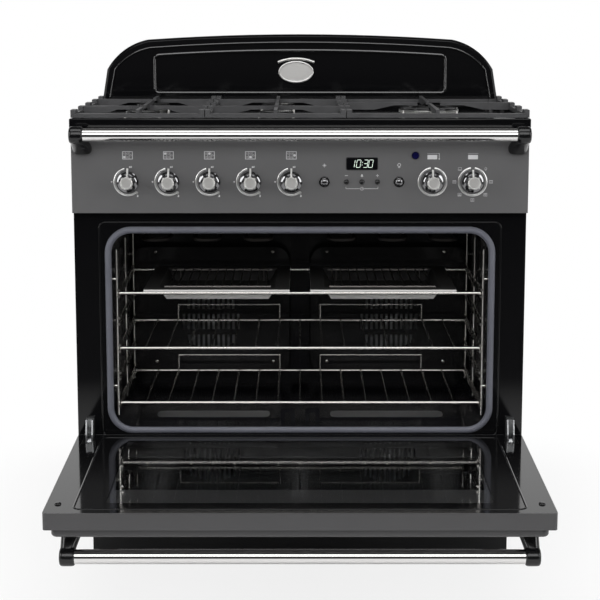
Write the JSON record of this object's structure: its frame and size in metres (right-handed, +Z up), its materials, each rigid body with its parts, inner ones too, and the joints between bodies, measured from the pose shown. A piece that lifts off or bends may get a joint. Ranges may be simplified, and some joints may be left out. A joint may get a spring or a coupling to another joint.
{
  "type": "range cooker",
  "caption": "Freestanding range cooker with a gas hob, splashback, drop-down oven door standing open, wire shelves, grill pans and a storage drawer.",
  "frame": {"origin": "under the middle of the whole cooker's box, on the floor, with the door open", "axes": "+Z up, -Y towards the cook (the door opens towards -Y), +X to the cook's right"},
  "size_m": [0.904, 1.0372, 1.057],
  "materials": {
    "slate": "satin",
    "black_enamel": "gloss",
    "cavity_enamel": "semi-gloss",
    "galvanised": "dull",
    "chrome": "polished",
    "zinc": "satin",
    "black_plastic": "satin",
    "cast_iron": "matt",
    "burner_alloy": "satin",
    "wool": "matt",
    "seal": "matt",
    "heater": "dull",
    "lens": "gloss",
    "tinted_glass": "gloss",
    "display": "gloss"
  },
  "bodies": {
    "cooker": {"side_panels": "black_enamel", "back_panel": "galvanised", "base_frame": "galvanised", "front_frame": "black_enamel", "feet": "black_plastic", "plinth": "black_enamel", "oven_liner": "cavity_enamel", "oven_insulation": "wool", "door_seal": "seal", "fan_covers": "cavity_enamel", "fan_motors": "galvanised", "oven_elements": "heater", "lamp_lenses": "lens", "shelf_racks": "chrome", "hinge_brackets": "zinc", "control_panel": "slate", "taps_and_switches": "zinc", "clock_display": "display", "hand_rail": "chrome", "hand_rail_brackets": "black_plastic", "hob_tray": "black_enamel", "burner_bases": "burner_alloy", "burner_caps": "black_enamel", "splashback": "black_enamel", "drawer_runners": "zinc", "terminal_box": "black_plastic"},
    "door": {"door_tray": "slate", "door_inner_panel": "black_enamel", "door_inner_glass": "tinted_glass", "door_outer_panel": "slate", "door_window_glass": "tinted_glass", "door_handle_bar": "chrome", "door_handle_brackets": "black_plastic", "hinge_leaves": "zinc"},
    "drawer": {"drawer_box": "black_enamel", "drawer_front": "slate"},
    "grill_shelf": {"grill_frame": "chrome"},
    "grill_pan_left_body": {"grill_pan_left": "zinc", "grill_trivet_left": "chrome"},
    "grill_pan_right_body": {"grill_pan_right": "zinc", "grill_trivet_right": "chrome"},
    "shelf_middle_body": {"shelf_middle": "chrome"},
    "shelf_bottom_body": {"shelf_bottom": "chrome"},
    "fan_left_body": {"fan_left": "galvanised"},
    "fan_right_body": {"fan_right": "galvanised"},
    "ignition_button_body": {"ignition_button": "chrome"},
    "lamp_button_body": {"lamp_button": "chrome"},
    "pan_support_left_body": {"pan_support_left": "cast_iron"},
    "pan_support_centre_body": {"pan_support_centre": "cast_iron"},
    "pan_support_right_body": {"pan_support_right": "cast_iron"},
    "gas_knob_1_body": {"gas_knob_1": "chrome"},
    "gas_knob_2_body": {"gas_knob_2": "chrome"},
    "gas_knob_3_body": {"gas_knob_3": "chrome"},
    "gas_knob_4_body": {"gas_knob_4": "chrome"},
    "gas_knob_5_body": {"gas_knob_5": "chrome"},
    "thermostat_knob_body": {"thermostat_knob": "chrome"},
    "function_knob_body": {"function_knob": "chrome"},
    "clock_button_1_body": {"clock_button_1": "black_plastic"},
    "clock_button_2_body": {"clock_button_2": "black_plastic"},
    "clock_button_3_body": {"clock_button_3": "black_plastic"}
  },
  "joints": [
    {"name": "door_hinge", "type": "hinge", "parent": "cooker", "child": "door", "pos_m": [0, -0.05442, 0.251], "axis": [1, 0, 0], "range_deg": [-91.3, 0]},
    {"name": "drawer_slide", "type": "slide", "parent": "cooker", "child": "drawer", "axis": [0, -1, 0], "range_m": [0, 0.32]},
    {"name": "grill_shelf_slide", "type": "slide", "parent": "cooker", "child": "grill_shelf", "axis": [0, -1, 0], "range_m": [0, 0.2]},
    {"name": "shelf_middle_slide", "type": "slide", "parent": "cooker", "child": "shelf_middle_body", "axis": [0, -1, 0], "range_m": [0, 0.2]},
    {"name": "shelf_bottom_slide", "type": "slide", "parent": "cooker", "child": "shelf_bottom_body", "axis": [0, -1, 0], "range_m": [0, 0.2]},
    {"name": "grill_pan_left_lift", "type": "slide", "parent": "grill_shelf", "child": "grill_pan_left_body", "axis": [0, 0, 1], "range_m": [0, 0.04]},
    {"name": "grill_pan_right_lift", "type": "slide", "parent": "grill_shelf", "child": "grill_pan_right_body", "axis": [0, 0, 1], "range_m": [0, 0.04]},
    {"name": "fan_left_spin", "type": "hinge", "parent": "cooker", "child": "fan_left_body", "pos_m": [-0.19825, 0.33558, 0.425], "axis": [0, 1, 0], "continuous": true},
    {"name": "fan_right_spin", "type": "hinge", "parent": "cooker", "child": "fan_right_body", "pos_m": [0.19825, 0.33558, 0.425], "axis": [0, 1, 0], "continuous": true},
    {"name": "pan_support_left_lift", "type": "slide", "parent": "cooker", "child": "pan_support_left_body", "axis": [0, 0, 1], "range_m": [0, 0.2]},
    {"name": "pan_support_centre_lift", "type": "slide", "parent": "cooker", "child": "pan_support_centre_body", "axis": [0, 0, 1], "range_m": [0, 0.2]},
    {"name": "pan_support_right_lift", "type": "slide", "parent": "cooker", "child": "pan_support_right_body", "axis": [0, 0, 1], "range_m": [0, 0.2]},
    {"name": "gas_knob_1_turn", "type": "hinge", "parent": "cooker", "child": "gas_knob_1_body", "pos_m": [-0.339, -0.05642, 0.78], "axis": [0, -1, 0], "range_deg": [0, 210]},
    {"name": "gas_knob_2_turn", "type": "hinge", "parent": "cooker", "child": "gas_knob_2_body", "pos_m": [-0.2585, -0.05642, 0.78], "axis": [0, -1, 0], "range_deg": [0, 210]},
    {"name": "gas_knob_3_turn", "type": "hinge", "parent": "cooker", "child": "gas_knob_3_body", "pos_m": [-0.178, -0.05642, 0.78], "axis": [0, -1, 0], "range_deg": [0, 210]},
    {"name": "gas_knob_4_turn", "type": "hinge", "parent": "cooker", "child": "gas_knob_4_body", "pos_m": [-0.0975, -0.05642, 0.78], "axis": [0, -1, 0], "range_deg": [0, 210]},
    {"name": "gas_knob_5_turn", "type": "hinge", "parent": "cooker", "child": "gas_knob_5_body", "pos_m": [-0.017, -0.05642, 0.78], "axis": [0, -1, 0], "range_deg": [0, 210]},
    {"name": "thermostat_knob_turn", "type": "hinge", "parent": "cooker", "child": "thermostat_knob_body", "pos_m": [0.261, -0.05642, 0.78], "axis": [0, -1, 0], "range_deg": [-280, 0]},
    {"name": "function_knob_turn", "type": "hinge", "parent": "cooker", "child": "function_knob_body", "pos_m": [0.34, -0.05642, 0.78], "axis": [0, -1, 0], "continuous": true},
    {"name": "ignition_button_press", "type": "slide", "parent": "cooker", "child": "ignition_button_body", "axis": [0, 1, 0], "range_m": [0, 0.003], "stiffness_N_per_m": 300},
    {"name": "lamp_button_press", "type": "slide", "parent": "cooker", "child": "lamp_button_body", "axis": [0, 1, 0], "range_m": [0, 0.003], "stiffness_N_per_m": 300},
    {"name": "clock_button_1_press", "type": "slide", "parent": "cooker", "child": "clock_button_1_body", "axis": [0, 1, 0], "range_m": [0, 0.002], "stiffness_N_per_m": 200},
    {"name": "clock_button_2_press", "type": "slide", "parent": "cooker", "child": "clock_button_2_body", "axis": [0, 1, 0], "range_m": [0, 0.002], "stiffness_N_per_m": 200},
    {"name": "clock_button_3_press", "type": "slide", "parent": "cooker", "child": "clock_button_3_body", "axis": [0, 1, 0], "range_m": [0, 0.002], "stiffness_N_per_m": 200}
  ]
}
